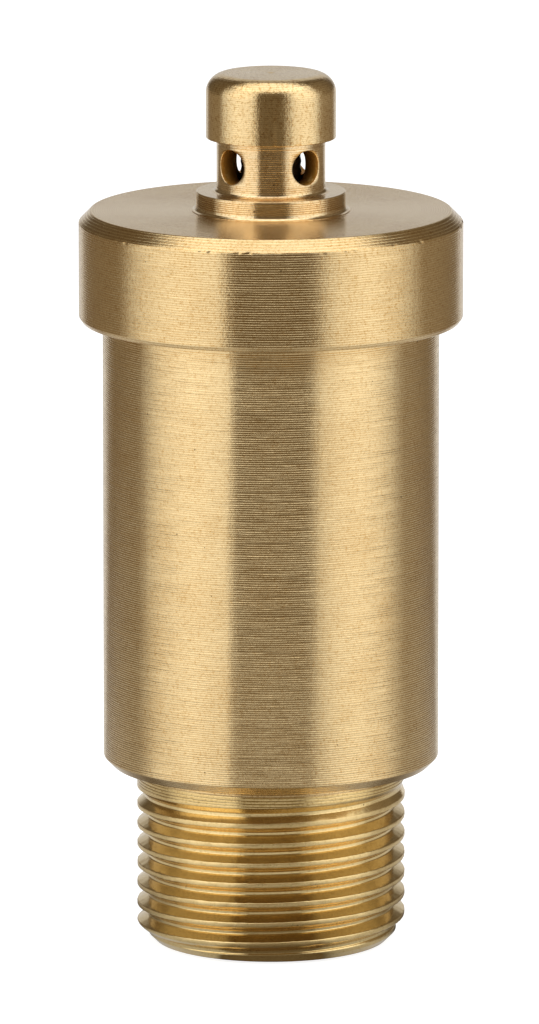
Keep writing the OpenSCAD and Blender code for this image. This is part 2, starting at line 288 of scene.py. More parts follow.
@dataclass(frozen=True)
class TurnedBrass:
    """Free-cutting brass, turned on a lathe and left raw.

    The tool leaves a shallow scallop with sharp cusps at each turn of the work, as a fine
    screw line on a wall and as rings on a face. The eye sees fine bright lines where the room
    is dark, softer ones where it is bright, a gleam that keeps its edges along the lines, and
    the speckle of the torn grain.
    """

    name: str
    # Raw brass, the same under a thin tarnish, and the dark of a pit
    metal: str = "#efd5a2"
    tarnish: str = "#b98c4a"
    pit: str = "#5c4420"
    # Advance of the tool in a turn of the work, mm
    feed: float = 0.22
    # Slope of the cusps between two turns, degrees, and how narrow they stand
    cusp: float = 50.0
    pinch: float = 2.0
    # How much the slope gains with the unevenness of the cut, and where it starts
    uneven_gain: float = 2.4
    uneven_start: float = -0.2
    # How far a line wanders, in feeds
    wander: float = 0.5
    # Share of the slope on bevels and flat faces, which are cut with a finer feed, and the
    # upright parts of the normal between which a wall becomes a bevel
    on_faces: float = 0.2
    bevel_from: float = 0.15
    bevel_to: float = 0.35
    # Upright part of the normal past which the lines are rings on a face
    face_from: float = 0.85
    # Levels, mm, between which the slope goes from a share of it to the whole, and the pinch
    # below them, if it is another
    fade_low: float = 0.0
    fade_high: float = 1.0
    fade_rest: float = 1.0
    low_pinch: float | None = None
    # How much the floors of the scallops darken towards the tarnish colour, as tarnish and
    # painted shade
    valley_tarnish_and_shade: float = 0.25
    roughness: float = 0.22
    rough_spread: float = 0.16
    anisotropy: float = 0.7
    # Length of a break in the lines round the work, mm, and how often one comes, per feed
    run: float = 5.0
    breaks: float = 0.7
    # Slope of the slow ripple round the work, degrees, its width, and its length up the axis, mm
    ripple: float = 0.5
    ripple_w: float = 1.25
    ripple_h: float = 20.0
    # Slope of the wide rings left by chatter of the tool, degrees, and their spacing, mm
    chatter: float = 0.5
    ring: float = 1.1
    # Size of the clouds of tarnish, mm
    cloud: float = 4.5
    # Size of the torn grain, mm, the share of the tarnish in its speckle, and its depth, mm
    grain: float = 0.25
    speckle: float = 0.4
    grit: float = 0.006
    # Radius of a thread's crests, which are torn and dull, mm; 0 for none. How deep the torn
    # metal reaches, mm, and how much rougher it is
    crest: float = 0.0
    torn_depth: float = 0.12
    torn_rough: float = 0.15
    # Spacing of the pits in the bar, mm
    pit_spacing: float = 2.5

    def radius(
        self, tree: bpy.types.NodeTree, place: bpy.types.NodeSocket
    ) -> tuple[bpy.types.NodeSocket, bpy.types.NodeSocket]:
        """Gives the distance from the axis in millimetres, and the direction away from it.

        Args:
            tree: the node tree.
            place: the surface point in millimetres.

        Returns:
            The distance's socket and the direction's socket.
        """
        flat = calc_vector(tree, "MULTIPLY", place, (1, 1, 0))
        length = add_node(tree, "ShaderNodeVectorMath", {"operation": "LENGTH"}, {0: flat})
        away = add_node(tree, "ShaderNodeVectorMath", {"operation": "NORMALIZE"}, {0: flat})
        return length.outputs["Value"], away.outputs[0]

    def lines(
        self, tree: bpy.types.NodeTree, place: bpy.types.NodeSocket,
        fade: bpy.types.NodeSocket,
    ) -> tuple[bpy.types.NodeSocket, bpy.types.NodeSocket, bpy.types.NodeSocket]:
        """Makes the tool's scallops, which follow the work as one screw line.

        Args:
            tree: the node tree.
            place: the surface point in millimetres.
            fade: share of the cusps' full slope.

        Returns:
            The normal tilted by the scallops, the closeness to a cusp from 0 to 1, and the
            distance across the lines in millimetres.
        """
        axes = add_node(tree, "ShaderNodeSeparateXYZ", links={0: place}).outputs
        radius, away = self.radius(tree, place)
        normal = add_node(tree, "ShaderNodeNewGeometry").outputs["Normal"]
        upright = add_node(tree, "ShaderNodeSeparateXYZ", links={0: normal}).outputs["Z"]
        steep = add_node(tree, "ShaderNodeMath", {"operation": "ABSOLUTE"}, {0: upright})
        on_face = calc(tree, "GREATER_THAN", steep.outputs[0], self.face_from)
        across = add_node(tree, "ShaderNodeMix", {"data_type": "FLOAT"},
                          {0: on_face, 2: axes["Z"], 3: radius}).outputs[0]
        along = add_node(tree, "ShaderNodeMix", {"data_type": "VECTOR", 4: (0, 0, 1)},
                         {0: on_face, 5: away}).outputs[1]
        angle = calc(tree, "ARCTAN2", axes["Y"], axes["X"])
        feeds = calc(tree, "DIVIDE", across, self.feed)
        turns = calc(tree, "MULTIPLY_ADD", angle, -1 / (2 * math.pi), feeds)
        grid = add_node(tree, "ShaderNodeCombineXYZ", links={
            0: axes["X"], 1: axes["Y"], 2: turns}).outputs[0]
        stretched = calc_vector(tree, "MULTIPLY", grid, (1 / self.run, 1 / self.run, self.breaks))
        uneven = mottle(tree, stretched, 1.0, detail=3.0, roughness=0.6)
        shifted = calc(tree, "MULTIPLY_ADD", uneven, self.wander, turns)
        share = add_node(tree, "ShaderNodeMath", {"operation": "FRACT"}, {0: shifted})
        offset = calc(tree, "MULTIPLY_ADD", share.outputs[0], 2.0, -1.0)
        depth = calc(tree, "MULTIPLY_ADD", uneven, self.uneven_gain, self.uneven_start)
        faded = calc(tree, "MULTIPLY", depth, fade)
        steepness = calc(tree, "MULTIPLY", faded, math.tan(math.radians(self.cusp)))
        squared = calc(tree, "MULTIPLY", offset, offset)
        cusp = calc(tree, "POWER", squared, 2.0)
        low_pinch = self.pinch if self.low_pinch is None else self.low_pinch
        pinch = ease(tree, axes["Z"], (self.fade_low, self.fade_high), (low_pinch, self.pinch))
        narrow = calc(tree, "POWER", squared, pinch)
        sharp = calc(tree, "MULTIPLY", narrow, offset)
        finer = ease(tree, steep.outputs[0], (self.bevel_from, self.bevel_to),
                     (1.0, self.on_faces))
        shallow = calc(tree, "MULTIPLY", sharp, finer)
        slope = calc(tree, "MULTIPLY", shallow, steepness)
        lean = add_node(tree, "ShaderNodeVectorMath", {"operation": "SCALE"},
                        {0: along, "Scale": slope}).outputs[0]
        leaning = calc_vector(tree, "ADD", normal, lean)
        tilted = calc_vector(tree, "NORMALIZE", leaning)
        return tilted, cusp, across

    def material(self) -> bpy.types.Material:
        """Makes the node material of this finish.

        Returns:
            The material.
        """
        material, tree, output = new_material(self.name)
        place = millimetres(tree)
        axes = add_node(tree, "ShaderNodeSeparateXYZ", links={0: place}).outputs
        fade = ease(tree, axes["Z"], (self.fade_low, self.fade_high), (self.fade_rest, 1.0))
        tilted, cusp, across = self.lines(tree, place, fade)
        clouds = mottle(tree, place, 1 / self.cloud, detail=4.0)
        grain = mottle(tree, place, 1 / self.grain, detail=3.0, roughness=0.75)
        spots = add_node(tree, "ShaderNodeTexVoronoi", {"Scale": 1 / self.pit_spacing},
                         {"Vector": place}).outputs["Distance"]
        pit = ease(tree, spots, (0.02, 0.045), (0.8, 0.0))

        # Tarnish gathers in clouds and in the speckle of the grain; the floors of the scallops
        # are darkened as tarnish and painted shade
        scallop_tarnish_and_shade = ease(tree, cusp, (0.0, 0.3), (self.valley_tarnish_and_shade, 0.0))
        lines_tarnish_and_shade = calc(tree, "MULTIPLY", scallop_tarnish_and_shade, fade)
        in_clouds = ease(tree, clouds, (0.4, 0.75), (0.0, 0.15))
        in_grain = ease(tree, grain, (0.45, 0.75), (0.0, self.speckle))
        mottled = calc(tree, "ADD", in_clouds, in_grain)
        tarnish_and_shade_share = calc(tree, "ADD", mottled, lines_tarnish_and_shade, clamp=True)
        colour = blend(tree, tarnish_and_shade_share, linear(self.metal), linear(self.tarnish))
        pitted = blend(tree, pit, colour, linear(self.pit))
        rough = calc(tree, "MULTIPLY_ADD", grain, self.rough_spread,
                     self.roughness - self.rough_spread / 2)

        # A slow ripple round the work, wide rings across it, and the torn grain
        streaks = add_node(tree, "ShaderNodeVectorMath",
                           {"operation": "MULTIPLY",
                            1: (1 / self.ripple_w, 1 / self.ripple_w, 1 / self.ripple_h)},
                           {0: place})
        wavy = mottle(tree, streaks.outputs[0], 1.0, detail=3.0)
        rippled = add_node(tree, "ShaderNodeBump",
                           {"Distance": math.tan(math.radians(self.ripple))
                            * self.ripple_w * MM},
                           {"Height": wavy, "Normal": tilted}).outputs[0]
        rings = add_node(tree, "ShaderNodeTexNoise",
                         {"noise_dimensions": "1D", "Scale": 1 / self.ring, "Detail": 4.0},
                         {"W": across}).outputs["Fac"]
        ringed = add_node(tree, "ShaderNodeBump",
                          {"Distance": math.tan(math.radians(self.chatter)) * self.ring * MM},
                          {"Height": rings, "Normal": rippled}).outputs[0]
        dented = add_node(tree, "ShaderNodeBump", {"Distance": self.grit * MM},
                          {"Height": grain, "Normal": ringed}).outputs[0]
        if self.crest:
            torn = ease(tree, self.radius(tree, place)[0],
                        (self.crest - self.torn_depth, self.crest - NEAR), (0.0, self.torn_rough))
            below = calc(tree, "SUBTRACT", 1.0, fade)
            rough = calc(tree, "MULTIPLY_ADD", torn, below, rough)
        tangent = add_node(tree, "ShaderNodeTangent", {"direction_type": "RADIAL", "axis": "Z"})
        shader = add_node(
            tree, "ShaderNodeBsdfPrincipled",
            {"Metallic": 1.0, "Anisotropic": self.anisotropy, "Anisotropic Rotation": 0.25},
            {"Base Color": pitted, "Roughness": rough, "Normal": dented,
             "Tangent": tangent.outputs[0]})
        tree.links.new(shader.outputs[0], output.inputs["Surface"])
        return material


@dataclass(frozen=True)
class GreasedShadedBrass:
    """Brass bore and screw under old grease and painted shade: dark brown for the deep shade
    inside, half matt, with a wet edge here and there.
    """

    name: str
    # The default grease and metal colours are dark as grease and as painted shade of the deep
    # bore and screw
    grease: str = "#2b1d0c"
    metal: str = "#7d5c2c"
    # Size of the smears, mm
    smear: float = 1.4

    def material(self) -> bpy.types.Material:
        """Makes the node material of this finish.

        Returns:
            The material.
        """
        material, tree, output = new_material(self.name)
        place = millimetres(tree)
        smears = mottle(tree, place, 1 / self.smear, detail=3.0, distortion=0.8)
        bare = ease(tree, smears, (0.5, 0.8), (0.0, 0.7))
        colour = blend(tree, bare, linear(self.grease), linear(self.metal))
        shader = add_node(tree, "ShaderNodeBsdfPrincipled",
                          {"Metallic": 0.6, "Roughness": 0.42}, {"Base Color": colour})
        tree.links.new(shader.outputs[0], output.inputs["Surface"])
        return material


@dataclass(frozen=True)
class StampedSteel:
    """Stainless sheet and wire, stamped or drawn and then tumbled: a soft, even grey gleam."""

    name: str
    metal: str = "#c4c3bf"
    stain: str = "#a09c95"
    roughness: float = 0.32
    rough_spread: float = 0.18
    # Width of the tumbling scuffs and of the stains, mm
    scuff: float = 0.35
    blotch: float = 2.0

    def material(self) -> bpy.types.Material:
        """Makes the node material of this finish.

        Returns:
            The material.
        """
        material, tree, output = new_material(self.name)
        place = millimetres(tree)
        scuffs = mottle(tree, place, 1 / self.scuff, detail=4.0, distortion=1.2)
        blotch = mottle(tree, place, 1 / self.blotch, detail=2.0)
        stained = ease(tree, blotch, (0.35, 0.8), (0.0, 0.6))
        colour = blend(tree, stained, linear(self.metal), linear(self.stain))
        bump = add_node(tree, "ShaderNodeBump", {"Distance": 0.004 * MM}, {"Height": scuffs})
        rough = calc(tree, "MULTIPLY_ADD", scuffs, self.rough_spread,
                     self.roughness - self.rough_spread / 2)
        shader = add_node(tree, "ShaderNodeBsdfPrincipled", {"Metallic": 1.0},
                          {"Base Color": colour, "Roughness": rough,
                           "Normal": bump.outputs[0]})
        tree.links.new(shader.outputs[0], output.inputs["Surface"])
        return material


@dataclass(frozen=True)
class MouldedRubber:
    """EPDM rubber, press-moulded: near black, with a dry bloom and no gloss."""

    name: str
    rubber: str = "#26262a"
    bloom: str = "#3a3a3c"
    # Size of the mould's spark-eroded grain and of the bloom's clouds, mm
    grit: float = 0.12
    cloud: float = 1.7

    def material(self) -> bpy.types.Material:
        """Makes the node material of this finish.

        Returns:
            The material.
        """
        material, tree, output = new_material(self.name)
        place = millimetres(tree)
        grit = mottle(tree, place, 1 / self.grit, detail=2.0)
        cloud = mottle(tree, place, 1 / self.cloud, detail=3.0)
        bloomed = ease(tree, cloud, (0.35, 0.75), (0.0, 1.0))
        colour = blend(tree, bloomed, linear(self.rubber), linear(self.bloom))
        bump = add_node(tree, "ShaderNodeBump", {"Distance": 0.006 * MM}, {"Height": grit})
        shader = add_node(tree, "ShaderNodeBsdfPrincipled",
                          {"Roughness": 0.72, "IOR": 1.52, "Specular IOR Level": 0.4},
                          {"Base Color": colour, "Normal": bump.outputs[0]})
        tree.links.new(shader.outputs[0], output.inputs["Surface"])
        return material


@dataclass(frozen=True)
class MouldedPlastic:
    """Natural polypropylene, injection-moulded: milky, a little waxy, with faint flow marks."""

    name: str
    plastic: str = "#e6e2d6"
    shade: str = "#d4cfc0"
    # Size of the mould's texture and of the flow marks, mm
    texture: float = 0.3
    flow: float = 5.5

    def material(self) -> bpy.types.Material:
        """Makes the node material of this finish.

        Returns:
            The material.
        """
        material, tree, output = new_material(self.name)
        place = millimetres(tree)
        flow = mottle(tree, place, 1 / self.flow, detail=3.0, distortion=1.5)
        skin = mottle(tree, place, 1 / self.texture, detail=2.0)
        marked = ease(tree, flow, (0.35, 0.8), (0.0, 1.0))
        colour = blend(tree, marked, linear(self.plastic), linear(self.shade))
        bump = add_node(tree, "ShaderNodeBump", {"Distance": 0.008 * MM}, {"Height": skin})
        rough = add_node(tree, "ShaderNodeMath",
                         {"operation": "MULTIPLY_ADD", 1: 0.12, 2: 0.38}, {0: skin})
        shader = add_node(tree, "ShaderNodeBsdfPrincipled",
                          {"IOR": 1.49, "Subsurface Weight": 0.15,
                           "Subsurface Radius": (1.2 * MM, 1.0 * MM, 0.8 * MM),
                           "Subsurface Scale": 1.0},
                          {"Base Color": colour, "Roughness": rough.outputs[0],
                           "Normal": bump.outputs[0]})
        tree.links.new(shader.outputs[0], output.inputs["Surface"])
        return material


# ---------------------------------------------------------------- lathe work


@dataclass(frozen=True)
class Corner:
    """A corner of a turned section: radius and level, and how far its edge is rounded, mm."""

    r: float
    z: float
    edge: float = 0.0


def turned_section(corners: Sequence[Corner], closed: bool, hold: float) -> bmesh.types.BMesh:
    """Draws a section as a wire in the X-Z plane, with rounded corners and hold points.

    Args:
        corners: the section's corners in order.
        closed: whether the last corner joins the first.
        hold: distance from a corner at which a long side gets an extra point, mm.

    Returns:
        A mesh of vertices and edges only.
    """
    bm = bmesh.new()
    points = [bm.verts.new((c.r * MM, 0, c.z * MM)) for c in corners]
    following = points[1:] + points[:1] if closed else points[1:]
    for near, far in zip(points, following):
        bm.edges.new((near, far))
    sizes = sorted({c.edge for c in corners if c.edge}, reverse=True)
    groups = [(size, [v for v, c in zip(points, corners) if c.edge == size]) for size in sizes]
    for size, group in groups:
        bmesh.ops.bevel(bm, geom=group, offset=size * MM, affect="VERTICES",
                        segments=3 if size < 0.5 else 4 + round(size * 5), profile=0.5,
                        material=-1)
    for edge in bm.edges[:]:
        near, far = edge.verts
        length = edge.calc_length()
        if length < 4 * hold * MM:
            continue
        _, middle = bmesh.utils.edge_split(edge, near, hold * MM / length)
        rest = next(e for e in middle.link_edges if e.other_vert(middle) == far)
        bmesh.utils.edge_split(rest, far, hold * MM / rest.calc_length())
    return bm


def sweep(
    bm: bmesh.types.BMesh, steps: int, eighths: int, rise: float = 0.0
) -> bmesh.types.BMesh:
    """Sweeps a section round the Z axis: an eighth of a turn first, then copies of that.

    Args:
        bm: the section, which becomes the swept surface.
        steps: number of sides in a full turn, a multiple of eight.
        eighths: number of eighths of a turn, a power of two.
        rise: how far the section climbs in a turn, mm.

    Returns:
        The swept surface.
    """
    part = math.pi / 4
    bmesh.ops.spin(bm, geom=bm.verts[:] + bm.edges[:], cent=(0, 0, 0), axis=(0, 0, 1),
                   dvec=(0, 0, rise * MM / steps), angle=part, steps=steps // 8,
                   use_merge=False)
    done = 1
    while done < eighths:
        copy = bmesh.ops.duplicate(bm, geom=bm.verts[:] + bm.edges[:] + bm.faces[:])["geom"]
        verts = [g for g in copy if isinstance(g, bmesh.types.BMVert)]
        bmesh.ops.rotate(bm, verts=verts, cent=(0, 0, 0),
                         matrix=Matrix.Rotation(part * done, 3, "Z"))
        bmesh.ops.translate(bm, verts=verts, vec=(0, 0, rise * MM * done / 8))
        done *= 2
    bmesh.ops.remove_doubles(bm, verts=bm.verts[:], dist=MERGE)
    return bm


def turn(
    corners: Sequence[Corner], closed: bool = True, steps: int = 192, hold: float = 0.05
) -> bmesh.types.BMesh:
    """Turns a section once round the Z axis.

    Args:
        corners: the section's corners, in mm.
        closed: whether the section is a closed outline.
        steps: number of sides round the axis.
        hold: see turned_section.

    Returns:
        The turned surface, in metres.
    """
    return sweep(turned_section(corners, closed, hold), steps, eighths=8)


def azimuth(point: Vector) -> float:
    """Measures the angle of a point round the axis.

    Args:
        point: the point.

    Returns:
        The angle counterclockwise from +X, in degrees.
    """
    return math.degrees(math.atan2(point.y, point.x))


def radius_of(point: Vector) -> float:
    """Measures the distance of a point from the axis.

    Args:
        point: the point, in metres.

    Returns:
        The distance in mm.
    """
    return math.hypot(point.x, point.y) / MM


def set_radius(vert: bmesh.types.BMVert, radius: float) -> None:
    """Moves a vertex in or out to a radius, at its own angle and level.

    Args:
        vert: the vertex.
        radius: its new distance from the axis, in mm.
    """
    scale = radius * MM / math.hypot(vert.co.x, vert.co.y)
    vert.co.x *= scale
    vert.co.y *= scale


def make_piece(
    bm: bmesh.types.BMesh,
    name: str,
    materials: Sequence[bpy.types.Material],
    body: Body,
    nodes: Iterable[str],
) -> bpy.types.Object:
    """Turns a finished mesh into a piece that rides on a body and stands for CAD nodes.

    Args:
        bm: the mesh, which is freed.
        name: the piece's name.
        materials: its materials, by the faces' material numbers.
        body: the body that it rides on.
        nodes: the CAD nodes that it replaces.

    Returns:
        The new object.
    """
    bmesh.ops.remove_doubles(bm, verts=bm.verts[:], dist=MERGE)
    bmesh.ops.dissolve_degenerate(bm, edges=bm.edges[:], dist=MERGE / 4)
    bmesh.ops.recalc_face_normals(bm, faces=bm.faces[:])
    for face in bm.faces:
        face.smooth = True
    open_edges = sum(1 for edge in bm.edges if not edge.is_manifold)
    mesh = bpy.data.meshes.new(name)
    bm.to_mesh(mesh)
    bm.free()
    for material in materials:
        mesh.materials.append(material)
    piece = bpy.data.objects.new(name, mesh)
    bpy.context.scene.collection.objects.link(piece)
    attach(piece, body.value)
    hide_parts(*nodes)
    LOG.info("%s: %d faces, %d open edges", name, len(mesh.polygons), open_edges)
    return piece


def dress(frame: dict[str, Any], names: Iterable[str], material: bpy.types.Material) -> None:
    """Gives CAD nodes a finish.

    Args:
        frame: the loaded frame.
        names: the nodes' names.
        material: their new material.
    """
    for name in names:
        node = frame["nodes"][name]
        node.data.materials.clear()
        node.data.materials.append(material)
        LOG.info("%s: dressed as %s", name, material.name)


# ---------------------------------------------------------------- body and cover


@dataclass
class PipeThread:
    """Right-hand M27 x 2 thread, 60 degrees, that runs out under the body's shoulder, in mm."""

    major: float
    pitch: float = 2.0
    depth: float = 1.077
    # Half widths of the groove at the crests and at its root, as shares of the pitch
    groove_half: float = 0.395
    root_half: float = 0.084
    # Level at which the last groove crosses the front, and where the plain band begins
    front_groove: float = 15.12
    top: float = 17.0
    # Bevel on the thread's end
    bevel: float = 1.75
    # Depth of the torn metal on the crests
    burr: float = 0.04
    steps: int = 192
    # Turns swept, of which those beyond the thread's ends are pressed flat
    swept_turns: int = 16

    def share_of_depth(self, level: float) -> float:
        """Works out how deep the groove is where it runs out.

        Args:
            level: level of the groove's middle, mm.

        Returns:
            The share of its full depth, from 0 to 1.
        """
        return min(1.0, max(0.0, 0.5 - (level - self.front_groove) / self.pitch))

    def cut(self) -> bmesh.types.BMesh:
        """Sweeps the groove's section up the helix, runs it out and bevels its end.

        Returns:
            An open tube from the end face up to the plain band.
        """
        start = self.front_groove - (self.swept_turns - 4 + 0.75) * self.pitch
        half, root = self.groove_half * self.pitch, self.root_half * self.pitch
        bm = turned_section([
            Corner(self.major, start - self.pitch / 2),
            Corner(self.major, start - half, 0.05),
            Corner(self.major - self.depth, start - root, 0.06),
            Corner(self.major - self.depth, start + root, 0.06),
            Corner(self.major, start + half, 0.05),
            Corner(self.major, start + self.pitch / 2)], closed=False, hold=0.05)
        sweep(bm, self.steps, self.swept_turns * 8, self.pitch)
        for vert in bm.verts:
            self.run_out(vert)
        bmesh.ops.remove_doubles(bm, verts=bm.verts[:], dist=MERGE)
        return bm

    def run_out(self, vert: bmesh.types.BMVert) -> None:
        """Fades a vertex's depth towards the shoulder, tears the crest and bevels the end.

        Args:
            vert: the vertex, which is moved.
        """
        level = vert.co.z / MM
        share_of_turn = (azimuth(vert.co) + 90) / 360
        offset = level - self.front_groove - share_of_turn * self.pitch
        groove = level - (offset - round(offset / self.pitch) * self.pitch)
        depth = (self.major - radius_of(vert.co)) * self.share_of_depth(groove)
        if depth < 0.1 and level < self.front_groove + 0.3:
            tear = noise.noise(vert.co / (0.5 * MM))
            depth += self.burr * max(0.0, tear + 0.3)
            level += self.burr * noise.noise(vert.co / (0.4 * MM) + Vector((7, 0, 0)))
        level = min(max(level, 0.0), self.top)
        radius = min(self.major - depth, self.major - self.bevel + level)
        set_radius(vert, radius if level < self.top else self.major)
        vert.co.z = level * MM


@dataclass
class VentBody:
    """Float chamber with its pipe thread, and the screwed cover on top of it, in mm."""

    frame: dict[str, Any]
    wall: float = 2.15
    floor: float = 2.2
    lower_bevel: float = 0.87
    shoulder_fillet: float = 0.6
    lip: float = 0.5
    cover_bevel: float = 1.18
    cover_lower_bevel: float = 0.36
    cover_lower_bevel_h: float = 0.5
    fit: float = 0.05
    seated_fit: float = 0.02
    # Small radius that a lathe tool or a file leaves on an edge
    edge: float = 0.09
    cover_steps: int = 512
    # Depths below the cover between which the wall's tool lines change
    fade_depths: tuple[float, float] = (9.0, 2.0)
    # Nicks in the rim of the cover's bevel: their size, the share of the rim without one, their
    # depth, and how far from the rim they reach
    nick_size: float = 0.38
    nick_from: float = 0.33
    nick_depth: float = 0.35
    nick_reach: float = 0.15
    thread: PipeThread = field(init=False)

    def __post_init__(self) -> None:
        """Takes the main radii and levels from the frame."""
        mounts = {m["name"]: m for m in self.frame["record"]["mounts"]}
        self.thread_r = mounts["pipe_thread"]["dims"]["r_mm"]
        self.inlet_r = mounts["inlet_bore"]["dims"]["r_mm"]
        self.shoulder_z = mounts["sealing_shoulder"]["pos_m"][2] / MM
        self.cover_z, self.cover_top = (c.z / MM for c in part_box("cover"))
        self.cover_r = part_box("cover")[1].x / MM
        self.body_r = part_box("body")[1].x / MM - self.lip
        self.spigot_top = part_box("body")[1].z / MM
        self.spigot_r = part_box("cover_gasket")[1].x / MM
        self.roof_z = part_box("cover_gasket")[1].z / MM
        low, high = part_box("turret_o_ring")
        self.ring_r, self.ring_z = high.x / MM, low.z / MM
        self.ring_bore_r = self.ring_r - (high.z - low.z) / MM
        self.thread = PipeThread(self.thread_r)

    def build(self) -> None:
        """Builds the body and the cover, and dresses the gasket and the float's rest."""
        walls = TurnedBrass("fine_turned_brass", cusp=32.0, pinch=0.1, low_pinch=0.8,
                            valley_tarnish_and_shade=0.24, roughness=0.19, anisotropy=0.85, speckle=0.5,
                            fade_low=self.cover_z - self.fade_depths[0],
                            fade_high=self.cover_z - self.fade_depths[1],
                            fade_rest=1.43).material()
        thread_cut = TurnedBrass("thread_cut_brass", metal="#edd196", tarnish="#a9843e",
                                 feed=0.3, cusp=34.0, pinch=1.0, valley_tarnish_and_shade=0.3,
                                 fade_low=self.thread.front_groove + 0.4,
                                 fade_high=self.thread.front_groove + 0.9, fade_rest=0.04,
                                 anisotropy=0.5, roughness=0.15,
                                 crest=self.thread_r).material()
        capped = TurnedBrass("cover_turned_brass", feed=0.232, cusp=46.0,
                             on_faces=0.4, valley_tarnish_and_shade=0.4, chatter=0.6, speckle=0.6,
                             grit=0.012, roughness=0.18, anisotropy=0.85).material()
        self.make_body(walls, thread_cut)
        self.make_cover(capped)
        dress(self.frame, ["cover_gasket"], MouldedRubber("gasket_epdm").material())
        dress(self.frame, ["float_rest"], MouldedPlastic("grille_polypropylene").material())

    def make_body(self, walls: bpy.types.Material, thread_cut: bpy.types.Material) -> None:
        """Joins the thread to the turned chamber.

        Args:
            walls: finish of the turned walls.
            thread_cut: finish of the thread.
        """
        thread = self.thread
        floor_z = self.shoulder_z + self.floor
        bore_r = self.body_r - self.wall
        bm = turn([
            Corner(self.thread_r, thread.top),
            Corner(self.thread_r, self.shoulder_z, self.shoulder_fillet),
            Corner(self.body_r - self.lower_bevel, self.shoulder_z, self.edge),
            Corner(self.body_r, self.shoulder_z + self.lower_bevel, self.edge),
            Corner(self.body_r, self.cover_z, self.lip - 0.01),
            Corner(self.body_r + self.lip, self.cover_z),
            Corner(self.spigot_r, self.cover_z),
            Corner(self.spigot_r, self.spigot_top, 0.2),
            Corner(bore_r, self.spigot_top, 0.1),
            Corner(bore_r, floor_z, 0.3),
            Corner(self.inlet_r, floor_z, 0.2),
            Corner(self.inlet_r, 0.0, 0.3),
            Corner(self.thread_r - thread.bevel, 0.0)], closed=False, steps=thread.steps)
        cut = thread.cut()
        swept = bpy.data.meshes.new("swept_thread")
        cut.to_mesh(swept)
        cut.free()
        bm.faces.ensure_lookup_table()
        plain = len(bm.faces)
        bm.from_mesh(swept)
        bpy.data.meshes.remove(swept)
        bm.faces.ensure_lookup_table()
        for face in bm.faces[plain:]:
            face.material_index = 1
        make_piece(bm, "chamber_body", [walls, thread_cut], Body.VENT,
                   ["body"])

    def make_cover(self, finish: bpy.types.Material) -> None:
        """Turns the cover and nicks the rim of its bevel.

        Args:
            finish: finish of the cover.
        """
        spigot_bore = self.spigot_r + self.fit
        ring_bore = self.ring_r + self.seated_fit
        rim = Corner(self.cover_r, self.cover_top - self.cover_bevel, self.edge)
        bm = turn([
            Corner(self.ring_bore_r, self.roof_z),
            Corner(spigot_bore, self.roof_z, 0.2),
            Corner(spigot_bore, self.cover_z, 0.1),
            Corner(self.cover_r - self.cover_lower_bevel, self.cover_z, self.edge),
            Corner(self.cover_r, self.cover_z + self.cover_lower_bevel_h, self.edge),
            Corner(self.cover_r, rim.z - 0.5),
            Corner(self.cover_r, rim.z - 0.22),
            rim,
            Corner(self.cover_r - 0.2, rim.z + 0.2),
            Corner(self.cover_r - self.cover_bevel, self.cover_top, self.edge),
            Corner(ring_bore, self.cover_top, 0.05),
            Corner(ring_bore, self.ring_z - self.seated_fit, 0.05),
            Corner(self.ring_bore_r, self.ring_z - self.seated_fit)], steps=self.cover_steps)
        for vert in bm.verts:
            near = (abs(vert.co.z / MM - rim.z) < self.nick_reach
                    and radius_of(vert.co) > rim.r - self.nick_reach)
            nick = noise.noise(vert.co / (self.nick_size * MM)) - self.nick_from
            if near and nick > 0:
                set_radius(vert, radius_of(vert.co) - self.nick_depth * nick)
        make_piece(bm, "screwed_cover", [finish], Body.VENT, ["cover"])


# ---------------------------------------------------------------- turret and cap


